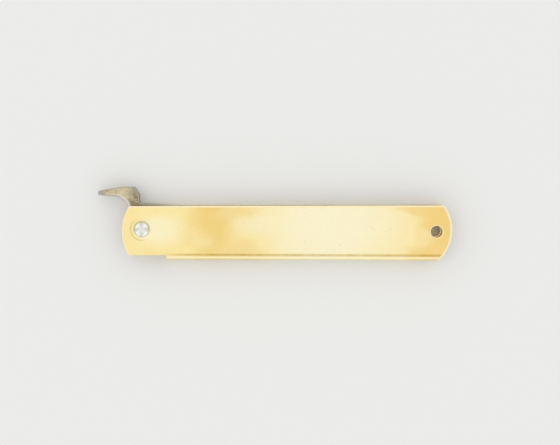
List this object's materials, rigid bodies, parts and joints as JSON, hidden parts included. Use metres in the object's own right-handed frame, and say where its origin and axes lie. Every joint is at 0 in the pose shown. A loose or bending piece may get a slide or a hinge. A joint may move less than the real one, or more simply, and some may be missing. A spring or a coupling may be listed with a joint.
{
  "type": "friction folding knife",
  "caption": "Friction folding pocket knife: a steel blade with a thumb lever turns on a rivet in a folded brass sheet handle with a lanyard hole in its butt.",
  "frame": {"origin": "middle of the footprint of the closed knife lying on its side, with z = 0 at the crown of the lower rivet head", "axes": "+X along the handle from the pivot end to the butt, +Y from the folded back to the open edge, +Z through the thickness, up from the surface that the knife lies on"},
  "size_m": [0.1072, 0.022, 0.0061],
  "materials": {
    "handle_brass": "polished",
    "blade_steel": "satin with a mottled patina",
    "rivet_steel": "bright, upset with a punch"
  },
  "bodies": {
    "handle": {"handle": "handle_brass", "pivot_rivet": "rivet_steel"},
    "blade": {"blade": "blade_steel"}
  },
  "joints": [
    {"name": "blade_hinge", "type": "hinge", "parent": "handle", "child": "blade", "pos_m": [-0.04035, -0.00172, 0.00308], "axis": [0, 0, 1], "range_deg": [0, 183]}
  ]
}
